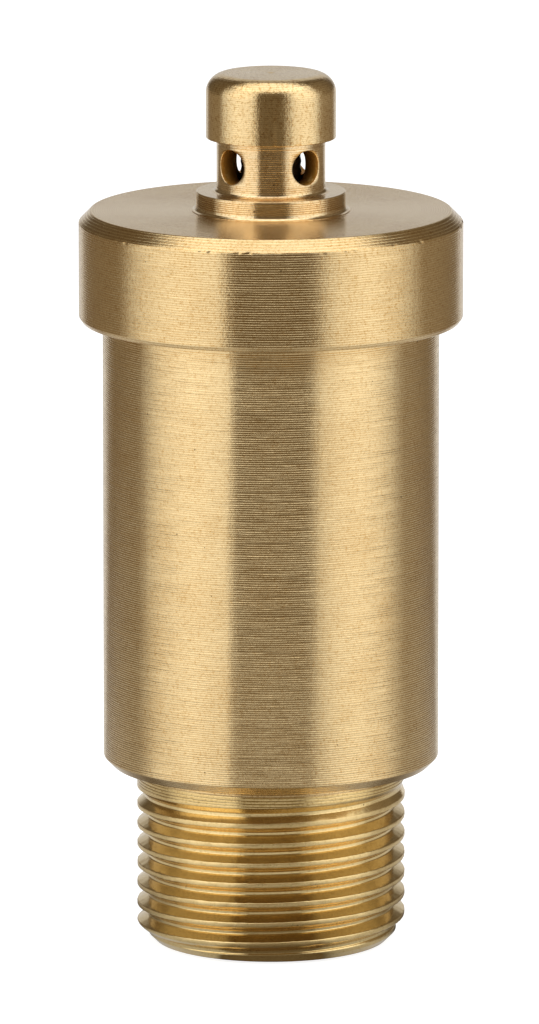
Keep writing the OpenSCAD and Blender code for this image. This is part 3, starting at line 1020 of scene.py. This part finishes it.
@dataclass
class Turret:
    """Collar, neck with four ports, shank and nozzle, all turned in one piece, in mm."""

    frame: dict[str, Any]
    neck_r: float = 5.375
    neck_h: float = 5.32
    collar_h: float = 1.92
    # Fillets that the tool's nose leaves at the foot of the collar and of the neck
    collar_fillet: float = 0.45
    neck_fillet: float = 0.45
    fillet_lip: float = 0.05
    nozzle_bevel: float = 0.3
    nozzle_r: float = 1.7
    nozzle_h: float = 1.0
    orifice_r: float = 1.0
    shank_bevel: float = 0.4
    shank_fit: float = 0.02
    chamber_r: float = 3.6
    # How far the chamber reaches above the ports and below the collar's top, and the height of
    # the nozzle's lip in it
    chamber_over_port: float = 0.35
    chamber_drop: float = 0.85
    lip_h: float = 0.4
    guide_drop: float = 0.28
    guide_step: float = 0.33
    screw_bore: float = 3.05
    port_r: float = 1.75
    port_height: float = 2.85
    port_angle: float = 41.7
    port_count: int = 4
    port_rim: float = 0.05
    # Height of the smooth land under the cap, and the score below it
    land: float = 0.57
    score: float = 0.05
    steps: int = 192
    # Half width of the patch of wall round a port, in steps, its half height, mm, and the
    # number of rows in it
    outer_patch: int = 12
    inner_patch: int = 18
    patch_z: float = 1.8
    outer_rows: int = 24
    inner_rows: int = 12

    def __post_init__(self) -> None:
        """Takes the main levels and radii from the frame."""
        low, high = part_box("turret")
        self.seat_z = low.z / MM
        self.guide_top = high.z / MM
        self.collar_r = high.x / MM - self.collar_fillet
        self.cover_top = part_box("cover")[1].z / MM
        ring_low, ring_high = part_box("turret_o_ring")
        self.shank_r = ring_high.x / MM - (ring_high.z - ring_low.z) / MM - self.shank_fit
        self.collar_top = self.cover_top + self.collar_h
        self.neck_top = self.collar_top + self.neck_h
        self.port_level = self.collar_top + self.port_height
        self.chamber_top = self.port_level + self.port_r + self.chamber_over_port
        self.chamber_z = self.collar_top - self.chamber_drop
        self.lip_z = self.chamber_z + self.lip_h

    def section(self) -> list[Corner]:
        """Gives the turned section.

        Returns:
            Its corners, from the nozzle's seat up the outside and down the bore.
        """
        shank_z = self.seat_z + self.nozzle_h
        guide_step = self.neck_top + self.guide_step
        guide_r = self.neck_r - self.guide_drop
        seat_r = self.nozzle_r - self.nozzle_bevel
        outer = [self.port_level + self.patch_z * (2 * i / self.outer_rows - 1)
                 for i in range(self.outer_rows + 1)]
        inner = [self.port_level + self.patch_z * (1 - 2 * i / self.inner_rows)
                 for i in range(self.inner_rows + 1)]
        score_z = self.neck_top - self.land
        return [
            Corner(self.orifice_r, self.seat_z, 0.05),
            Corner(seat_r, self.seat_z, 0.05),
            Corner(self.nozzle_r, self.seat_z + self.nozzle_bevel),
            Corner(self.nozzle_r, shank_z),
            Corner(self.shank_r - self.shank_bevel, shank_z),
            Corner(self.shank_r, shank_z + self.shank_bevel),
            Corner(self.shank_r, self.cover_top),
            Corner(self.collar_r + self.collar_fillet, self.cover_top),
            Corner(self.collar_r + self.collar_fillet, self.cover_top + self.fillet_lip),
            Corner(self.collar_r, self.cover_top + self.fillet_lip,
                   self.collar_fillet - 0.01),
            Corner(self.collar_r, self.collar_top, 0.1),
            Corner(self.neck_r, self.collar_top, self.neck_fillet),
            *[Corner(self.neck_r, z) for z in outer],
            Corner(self.neck_r, score_z - self.score),
            Corner(self.neck_r - 0.8 * self.score, score_z),
            Corner(self.neck_r + 0.01, score_z + self.score),
            Corner(self.neck_r + 0.04, self.neck_top),
            Corner(self.neck_r, guide_step),
            Corner(guide_r, guide_step),
            Corner(guide_r, self.guide_top - 0.2),
            Corner(guide_r - 0.2, self.guide_top),
            Corner(self.screw_bore, self.guide_top, 0.1),
            Corner(self.screw_bore, self.chamber_top),
            Corner(self.chamber_r, self.chamber_top),
            *[Corner(self.chamber_r, z) for z in inner],
            Corner(self.chamber_r, self.chamber_z, 0.1),
            Corner(self.nozzle_r, self.chamber_z),
            Corner(self.nozzle_r, self.lip_z - self.nozzle_bevel),
            Corner(seat_r, self.lip_z, 0.04),
            Corner(self.orifice_r, self.lip_z, 0.04)]

    def open_patch(self, bm: bmesh.types.BMesh, turn_to: float, wall_r: float,
                   half_steps: int) -> list[bmesh.types.BMEdge]:
        """Takes the patch of wall round a port away.

        Args:
            bm: the turret.
            turn_to: the port's angle round the axis, degrees.
            wall_r: radius of the wall, mm.
            half_steps: half the patch's width, in steps.

        Returns:
            The edges round the hole.
        """
        reach = half_steps * 360 / self.steps
        patch = []
        for face in bm.faces:
            centre = face.calc_center_median()
            aside = (azimuth(centre) - turn_to + 180) % 360 - 180
            level = centre.z / MM - self.port_level
            on_wall = abs(radius_of(centre) - wall_r) < NEAR
            if on_wall and abs(aside) < reach and abs(level) < self.patch_z:
                patch.append(face)
        rim = {e for f in patch for e in f.edges if any(g not in patch for g in e.link_faces)}
        bmesh.ops.delete(bm, geom=patch, context="FACES")
        return [e for e in rim if e.is_valid]

    def drill(self, bm: bmesh.types.BMesh, turn_to: float) -> None:
        """Makes one port, with a small broken edge outside, from the neck to the chamber.

        Args:
            bm: the turret.
            turn_to: the port's angle round the axis, degrees.
        """
        outer = self.open_patch(bm, turn_to, self.neck_r, self.outer_patch)
        inner = self.open_patch(bm, turn_to, self.chamber_r, self.inner_patch)
        spin = Matrix.Rotation(math.radians(turn_to), 4, "Z")
        level = Matrix.Translation((0, 0, self.port_level * MM))
        upright = Matrix.Rotation(math.pi / 2, 4, "Y")
        made = bmesh.ops.create_circle(
            bm, cap_ends=False, radius=self.port_r * MM,
            segments=4 * self.outer_patch + 2 * self.outer_rows, matrix=upright)["verts"]
        rings = [[v for v in made]]
        edges = [list({e for v in made for e in v.link_edges})]
        for _ in range(2):
            new = bmesh.ops.extrude_edge_only(bm, edges=edges[-1])["geom"]
            rings.append([g for g in new if isinstance(g, bmesh.types.BMVert)])
            ring = set(rings[-1])
            edges.append([g for g in new if isinstance(g, bmesh.types.BMEdge)
                          and set(g.verts) <= ring])
        forms = [(self.neck_r, 0.0, self.port_r),
                 (self.neck_r, self.port_rim, self.port_r - self.port_rim),
                 (self.chamber_r, 0.0, self.port_r - self.port_rim)]
        for ring, (wall_r, sunk, size) in zip(rings, forms):
            for vert in ring:
                across = Vector((0, vert.co.y, vert.co.z)).normalized() * size * MM
                depth = math.sqrt((wall_r * MM) ** 2 - across.y ** 2) - sunk * MM
                vert.co = spin @ level @ Vector((depth, across.y, across.z))
        bmesh.ops.bridge_loops(bm, edges=outer + edges[0])
        bmesh.ops.bridge_loops(bm, edges=inner + edges[2])

    def build(self) -> None:
        """Turns the turret, drills its ports, and dresses the O-ring and the nut."""
        bm = turn(self.section(), steps=self.steps)
        bmesh.ops.rotate(bm, verts=bm.verts[:], cent=(0, 0, 0),
                         matrix=Matrix.Rotation(math.radians(self.port_angle), 3, "Z"))
        for i in range(self.port_count):
            self.drill(bm, self.port_angle + 360 * i / self.port_count)
        for face in bm.faces:
            centre = face.calc_center_median()
            if self.lip_z - 0.5 < centre.z / MM < self.chamber_top + 0.01 and radius_of(
                    centre) < self.chamber_r + NEAR:
                face.material_index = 1
            elif self.chamber_r + 0.1 < radius_of(centre) < self.neck_r - 0.3 and abs(
                    centre.z / MM - self.port_level) < self.port_r:
                face.material_index = 2
        finish = TurnedBrass("turret_turned_brass", metal="#f0d8ac", feed=0.2, cusp=22.0,
                             pinch=1.0, valley_tarnish_and_shade=0.25, roughness=0.12, speckle=0.6,
                             grit=0.01).material()
        # The chamber and bore are painted dark as grease and as the deep shade inside the turret
        shaded_greased = GreasedShadedBrass("shaded_greased_bore").material()
        drilled = GreasedShadedBrass("oily_drilled_brass", grease="#b98436", metal="#ecc67c",
                               smear=0.6).material()
        make_piece(bm, "ported_turret", [finish, shaded_greased, drilled], Body.VENT,
                   ["turret"])
        dress(self.frame, ["turret_o_ring"], MouldedRubber("o_ring_epdm").material())
        nut = TurnedBrass("nut_brass", feed=0.3, cusp=5.0, pinch=0.0,
                          anisotropy=0.3).material()
        dress(self.frame, ["turret_nut", "valve_carrier"], nut)


@dataclass
class VentCap:
    """Screw-down cap with its screw, and the rubber tip that closes the air passage, in mm."""

    frame: dict[str, Any]
    edge_radius: float = 1.9
    edge_break: float = 0.08
    skirt_r: float = 5.445
    screw_r: float = 3.0
    # Pitch and depth of the screw's grooves, which old grease has nearly filled
    screw_pitch: float = 1.0
    screw_depth: float = 0.08
    recess: float = 3.13
    # Height of the turret's guide above its neck
    guide_h: float = 2.63
    stem_r: float = 1.05
    stem_l: float = 2.9
    burr: float = 0.035
    # The mark that the parting tool leaves in the middle of the top
    pip_r: float = 0.45
    pip_depth: float = 0.09
    steps: int = 384

    def __post_init__(self) -> None:
        """Takes the main levels and radii from the frame."""
        low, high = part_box("vent_cap")
        self.cap_r, self.cap_top, self.screw_end = high.x / MM, high.z / MM, low.z / MM
        self.neck_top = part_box("turret")[1].z / MM - self.guide_h
        self.recess_top = self.neck_top + self.recess

    def screw_corners(self) -> list[Corner]:
        """Draws the screw's grooves.

        Returns:
            Their corners, from the recess down to the screw's end.
        """
        corners = []
        middle = self.recess_top - self.screw_pitch
        while middle > self.screw_end + self.screw_pitch:
            corners += [Corner(self.screw_r, middle + 0.42 * self.screw_pitch),
                        Corner(self.screw_r - self.screw_depth, middle + 0.08),
                        Corner(self.screw_r - self.screw_depth, middle - 0.08),
                        Corner(self.screw_r, middle - 0.42 * self.screw_pitch)]
            middle -= self.screw_pitch
        return corners

    def build(self) -> None:
        """Turns the cap, roughens its lower edge, and dresses the tip."""
        stem_top = self.screw_end + self.stem_l
        bm = turn([
            Corner(0, self.cap_top - self.pip_depth),
            Corner(self.pip_r, self.cap_top, 0.05),
            Corner(self.cap_r, self.cap_top, self.edge_radius),
            Corner(self.cap_r, self.neck_top, self.edge_break),
            Corner(self.skirt_r, self.neck_top, 0.08),
            Corner(self.skirt_r, self.recess_top, 0.1),
            Corner(self.screw_r, self.recess_top),
            *self.screw_corners(),
            Corner(self.screw_r, self.screw_end, 0.2),
            Corner(self.stem_r, self.screw_end),
            Corner(self.stem_r, stem_top),
            Corner(0, stem_top)], closed=False, steps=self.steps)
        for vert in bm.verts:
            low_edge = vert.co.z / MM < self.neck_top + 0.12
            if low_edge and radius_of(vert.co) > self.skirt_r + 0.3:
                torn = noise.noise(vert.co / (0.5 * MM)) + 0.5 * noise.noise(vert.co / (0.2 * MM))
                set_radius(vert, radius_of(vert.co) - self.burr * max(0.0, torn))
                vert.co.z += self.burr * max(0.0, torn) * MM
        for face in bm.faces:
            centre = face.calc_center_median()
            if radius_of(centre) < self.screw_r + NEAR and (
                    centre.z / MM < self.recess_top + 0.01):
                face.material_index = 1
        finish = TurnedBrass("cap_turned_brass", feed=0.2, cusp=6.0, pinch=0.5, valley_tarnish_and_shade=0.2,
                             ripple=1.5, chatter=1.0, speckle=0.85, grit=0.019,
                             on_faces=0.5, roughness=0.15).material()
        # The screw is painted dark as grease and as the deep shade inside the turret
        shaded_greased = GreasedShadedBrass("shaded_greased_screw").material()
        make_piece(bm, "screw_down_cap", [finish, shaded_greased], Body.CAP,
                   ["vent_cap"])
        dress(self.frame, ["spindle_tip"], MouldedRubber("tip_epdm").material())


# ---------------------------------------------------------------- inner pieces


@dataclass
class LeverGear:
    """Bracket, lever, pins, valve and spring that carry and work the air valve."""

    frame: dict[str, Any]
    sheet: tuple[str, ...] = ("lever_bracket", "lever", "float_link")
    wire: tuple[str, ...] = ("pivot_pin", "pivot_clip", "carrier_pin", "link_pin",
                             "link_rivet", "valve_spring")

    def build(self) -> None:
        """Dresses the stamped pieces, the pins, the spring and the valve pad."""
        dress(self.frame, self.sheet, StampedSteel("stamped_stainless").material())
        dress(self.frame, self.wire, StampedSteel("drawn_stainless", metal="#cfceca",
                                                  roughness=0.22, scuff=0.2).material())
        dress(self.frame, ["valve_pad"], MouldedRubber("valve_pad_epdm").material())


@dataclass
class FloatUnit:
    """Hollow float: a moulded cup with a welded lid."""

    frame: dict[str, Any]

    def build(self) -> None:
        """Dresses the cup and the lid."""
        dress(self.frame, ["float_shell", "float_lid"],
              MouldedPlastic("float_polypropylene").material())


# ---------------------------------------------------------------- studio


@dataclass
class Studio:
    """White room with soft panels to the left, right and overhead, and dark screens between.

    The metal mirrors the room by direction round the object: 0 degrees is the camera's side
    and the angle grows to its right. The room's brightness for mirrored rays is a row of
    stops, each an angle and a brightness, with the warm grey of the screens between panels.
    """

    front: float = 0.165
    side: float = 0.22
    # The dark screens themselves, against what the floor passes on of them
    side_gain: float = 0.55
    back: float = 0.62
    # Soft panels: the angles of an edge, the near flank, the middle, the far flank and an
    # edge, and the brightness there
    left_panel: Stops = (
        (-100, 0.26), (-92, 0.62), (-80, 0.95), (-58, 1.13), (-42, 1.04), (-29, 0.95),
        (-25, 0.19))
    right_panel: Stops = (
        (26, 0.2), (34, 0.74), (46, 0.98), (62, 1.10), (80, 0.99), (93, 0.62), (101, 0.32))
    # The panels themselves, against what a pale floor passes on of them
    panel_gain: float = 1.55
    floor_gain: float = 1.1
    # The screens and the back as the floor shows them to the upright walls
    floor_side: float = 0.255
    floor_back: float = 0.76
    overhead: float = 1.5
    overhead_sides: float = 1.8
    # Heights, degrees, between which the walls give way to the leaning overhead panel, and
    # those above which it also covers the back
    leaning: tuple[float, float] = (43.0, 51.0)
    zenith: tuple[float, float] = (57.0, 68.0)
    # Warmth of the dark screens: what is left of their green and blue
    warm: tuple[float, float] = (0.80, 0.55)
    ambient: float = 0.5
    # Painted shadow and light on the floor as the metal mirrors it, set for the front of the
    # floor: dark right under the object and a bright ring a little way out; distances from the
    # object in metres, and the brightness there
    painted_floor_shade_and_light: Stops = (
        (0.0, 0.12), (0.022, 0.14), (0.045, 0.62), (0.080, 0.62), (0.130, 0.27), (0.30, 0.17))
    # Angles past which the bright back begins, in the room and as the floor shows it, degrees
    back_from: float = 158.0
    floor_back_from: float = 146.0
    # Painted contact shadow in the floor as the metal mirrors it: share of the room that the
    # floor right under the object still mirrors, and the distances between which it grows to the
    # whole, metres
    painted_contact_shadow: float = 0.4
    painted_shadow_reach: tuple[float, float] = (0.012, 0.08)
    # The most that the floor shows of a panel
    floor_limit: float = 1.2
    # Greys of the floor as the camera sees it, lit and glowing by itself, and for other rays
    seen_matt: float = 0.4
    seen_glow: float = 0.84
    pale_matt: float = 0.8
    floor_gap: float = 0.2
    floor_size: float = 12.0

    def at_eye_level(self, back_from: float, gain: float, side: float,
                     back: float) -> Stops:
        """Lists the room's brightness by angle.

        Args:
            back_from: angle past which the bright back begins, degrees.
            gain: factor on the panels.
            side: brightness of the dark screens at the sides.
            back: brightness of the back.

        Returns:
            Stops from -180 to 180 degrees.
        """
        left, right = (
            [(angle, side + (level - self.side) * gain) for angle, level in panel]
            for panel in (self.left_panel, self.right_panel))
        return [(-180, back), (-back_from - 8, back), (-back_from, side),
                *left, (-20, self.front), (20, self.front), *right,
                (back_from, side), (back_from + 8, back), (180, back)]

    def above(self) -> Stops:
        """Lists the brightness of the room's upper part by angle.

        Returns:
            Stops from -180 to 180 degrees.
        """
        high, sides, dark = self.overhead, self.overhead_sides, self.side * self.side_gain
        return [(-180, dark), (-112, dark), (-94, sides), (-40, sides), (-20, high),
                (20, high), (40, sides), (94, sides), (112, dark), (180, dark)]

    def shade_of(self, level: float) -> Colour:
        """Works out the colour of a stretch of the room.

        Args:
            level: its brightness.

        Returns:
            The linear colour: white for a panel, warm for a dark screen.
        """
        dark = max(0.0, min(1.0, (self.back - level) / (self.back - self.side)))
        green, blue = (1 - dark * (1 - c) for c in self.warm)
        return (level, level * green, level * blue, 1.0)

    def band(
        self, tree: bpy.types.NodeTree, share: bpy.types.NodeSocket,
        stops: Stops,
    ) -> bpy.types.NodeSocket:
        """Colours a band of the room or the floor.

        Args:
            tree: the node tree.
            share: position along the band, from 0 to 1.
            stops: positions, in any unit, and the brightness at each.

        Returns:
            The colour's socket.
        """
        ramp = add_node(tree, "ShaderNodeValToRGB", links={0: share})
        elements = ramp.color_ramp.elements
        elements.remove(elements[-1])
        first, last = stops[0][0], stops[-1][0]
        for i, (place, level) in enumerate(stops):
            position = (place - first) / (last - first)
            element = elements[0] if i == 0 else elements.new(position)
            element.position = position
            element.color = self.shade_of(level)
        return ramp.outputs["Color"]

    def ring(
        self, tree: bpy.types.NodeTree, direction: bpy.types.NodeSocket,
        stops: Stops,
    ) -> bpy.types.NodeSocket:
        """Makes the colour of a ring of the room in a direction from the object.

        Args:
            tree: the node tree.
            direction: a vector from the object.
            stops: angles round the object and the brightness at each.

        Returns:
            The colour's socket.
        """
        axes = add_node(tree, "ShaderNodeSeparateXYZ", links={0: direction}).outputs
        ahead = calc(tree, "MULTIPLY", axes["Y"], -1.0)
        angle = calc(tree, "ARCTAN2", axes["X"], ahead)
        share = calc(tree, "MULTIPLY_ADD", angle, 1 / (2 * math.pi), 0.5)
        return self.band(tree, share, stops)

    def build(self) -> None:
        """Makes the world, the floor and the lamps."""
        self.make_world()
        self.make_floor()
        for name, place, size, power in (
                ("left_panel", (-0.55, -0.45, 0.35), (0.5, 0.8), 3.2),
                ("right_panel", (0.55, -0.42, 0.35), (0.5, 0.8), 3.0),
                ("overhead_panel", (0.0, 0.05, 0.85), (0.9, 0.9), 3.5)):
            self.add_lamp(name, Vector(place), size, power)

    def make_world(self) -> None:
        """Makes a white world for the camera, and the room for what the metal mirrors."""
        world = bpy.data.worlds.new("studio_room")
        world.use_nodes = True
        tree = world.node_tree
        tree.nodes.clear()
        direction = add_node(tree, "ShaderNodeTexCoord").outputs["Generated"]
        height = add_node(tree, "ShaderNodeSeparateXYZ", links={0: direction}).outputs["Z"]
        walls = self.ring(tree, direction, self.at_eye_level(
            self.back_from, self.panel_gain, self.side * self.side_gain, self.back))
        top = (self.overhead, self.overhead, self.overhead, 1)
        for (low, high), upper in ((self.leaning, self.ring(tree, direction, self.above())),
                                   (self.zenith, top)):
            up = ease(tree, height, (math.sin(math.radians(low)), math.sin(math.radians(high))))
            walls = blend(tree, up, walls, upper)
        rays = add_node(tree, "ShaderNodeLightPath").outputs
        grey = self.ambient
        seen = blend(tree, rays["Is Glossy Ray"], (grey, grey, grey, 1), walls)
        white_ray = add_node(tree, "ShaderNodeMath", {"operation": "MAXIMUM"},
                             {0: rays["Is Camera Ray"], 1: rays["Is Transmission Ray"]})
        colour = blend(tree, white_ray.outputs[0], seen, (1, 1, 1, 1))
        background = add_node(tree, "ShaderNodeBackground", {"Strength": 1.0},
                              {"Color": colour})
        output = add_node(tree, "ShaderNodeOutputWorld")
        tree.links.new(background.outputs[0], output.inputs["Surface"])
        bpy.context.scene.world = world

    def make_floor(self) -> None:
        """Makes a pale floor that keeps the shadow and is clear from below; to mirrored rays it
        shows the room with a painted contact shadow and a painted bright ring round the object.
        """
        bm = bmesh.new()
        bmesh.ops.create_grid(bm, x_segments=1, y_segments=1, size=self.floor_size / 2,
                              matrix=Matrix.Translation((0, 0, -self.floor_gap * MM)))
        mesh = bpy.data.meshes.new("floor")
        bm.to_mesh(mesh)
        bm.free()
        floor = bpy.data.objects.new("floor", mesh)
        bpy.context.scene.collection.objects.link(floor)
        material, tree, output = new_material("pale_floor")
        place = add_node(tree, "ShaderNodeTexCoord").outputs["Object"]
        reach = add_node(tree, "ShaderNodeVectorMath", {"operation": "LENGTH"}, {0: place})
        share = calc(tree, "DIVIDE", reach.outputs["Value"], self.painted_floor_shade_and_light[-1][0], clamp=True)
        # Painted contact shadow: the room that the floor mirrors is darkened right under the
        # object
        near = ease(tree, reach.outputs["Value"], (self.painted_shadow_reach[0], self.painted_shadow_reach[1]),
                    (self.painted_contact_shadow, 1.0))
        room = add_node(tree, "ShaderNodeVectorMath", {"operation": "SCALE"},
                        {0: self.ring(tree, place, self.at_eye_level(
                            self.floor_back_from, self.floor_gain, self.floor_side,
                            self.floor_back)),
                         "Scale": near}).outputs[0]
        # A painted dark patch under the object and a painted bright ring round it, as the metal
        # sees the floor
        brighter = calc_vector(tree, "MAXIMUM", room, self.band(tree, share, self.painted_floor_shade_and_light))
        mirrored = calc_vector(tree, "MINIMUM", brighter, (self.floor_limit,) * 3)
        rays = add_node(tree, "ShaderNodeLightPath").outputs
        matt = add_node(tree, "ShaderNodeBsdfDiffuse", {"Color": (self.seen_matt,) * 3 + (1,)})
        white = add_node(tree, "ShaderNodeEmission",
                         {"Color": (1, 1, 1, 1), "Strength": self.seen_glow})
        seen = add_node(tree, "ShaderNodeAddShader", links={0: matt.outputs[0],
                                                            1: white.outputs[0]})
        pale = add_node(tree, "ShaderNodeBsdfDiffuse", {"Color": (self.pale_matt,) * 3 + (1,)})
        gleam = add_node(tree, "ShaderNodeEmission", {"Strength": 1.0}, {"Color": mirrored})
        direct = add_node(tree, "ShaderNodeMath", {"operation": "MAXIMUM"},
                          {0: rays["Is Camera Ray"], 1: rays["Is Transmission Ray"]})
        plain = add_node(tree, "ShaderNodeMixShader", links={
            0: direct.outputs[0], 1: pale.outputs[0], 2: seen.outputs[0]})
        lit = add_node(tree, "ShaderNodeMixShader", links={
            0: rays["Is Glossy Ray"], 1: plain.outputs[0], 2: gleam.outputs[0]})
        clear = add_node(tree, "ShaderNodeBsdfTransparent")
        below = add_node(tree, "ShaderNodeNewGeometry").outputs["Backfacing"]
        surface = add_node(tree, "ShaderNodeMixShader",
                           links={0: below, 1: lit.outputs[0], 2: clear.outputs[0]})
        tree.links.new(surface.outputs[0], output.inputs["Surface"])
        mesh.materials.append(material)

    def add_lamp(self, name: str, place: Vector, size: tuple[float, float],
                 power: float) -> None:
        """Adds a soft panel that lights the matt pieces and casts the shadow.

        Args:
            name: the lamp's name.
            place: its middle, in metres.
            size: its width and height, in metres.
            power: its power in watts.
        """
        lamp = bpy.data.lights.new(name, "AREA")
        lamp.shape = "RECTANGLE"
        lamp.size, lamp.size_y = size
        lamp.energy = power
        panel = bpy.data.objects.new(name, lamp)
        panel.location = place
        aim = Vector((0, 0, 0.045)) - place
        panel.rotation_euler = aim.to_track_quat("-Z", "Y").to_euler()
        panel.visible_camera = False
        panel.visible_glossy = False
        bpy.context.scene.collection.objects.link(panel)


@dataclass
class Camera:
    """Long lens a little above the object, looking along +Y."""

    target_z: float = 43.10
    aside: float = -0.144
    distance: float = 1109.2
    elevation: float = 11.035
    lens: float = 392.95

    def build(self) -> None:
        """Adds the camera and makes it the scene's."""
        data = bpy.data.cameras.new("front_camera")
        data.sensor_fit = "AUTO"
        data.sensor_width = 36.0
        data.lens = self.lens
        data.clip_start, data.clip_end = 0.01, 20.0
        camera = bpy.data.objects.new("front_camera", data)
        tilt = math.radians(self.elevation)
        back = Vector((0, -math.cos(tilt), math.sin(tilt)))
        camera.location = (Vector((self.aside, 0, self.target_z)) + back * self.distance) * MM
        camera.rotation_euler = (-back).to_track_quat("-Z", "Y").to_euler()
        bpy.context.scene.collection.objects.link(camera)
        bpy.context.scene.camera = camera


def main() -> None:
    """Loads the frame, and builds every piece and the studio."""
    logging.basicConfig(level=logging.INFO, format="%(name)s: %(message)s")
    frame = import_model()
    Camera().build()
    Studio().build()
    for unit in (VentBody(frame), Turret(frame), VentCap(frame), LeverGear(frame),
                 FloatUnit(frame)):
        unit.build()
        LOG.info("%s is done", type(unit).__name__)
    bpy.context.scene.view_settings.view_transform = "Standard"
    bpy.context.view_layer.update()


if __name__ == "__main__":
    main()
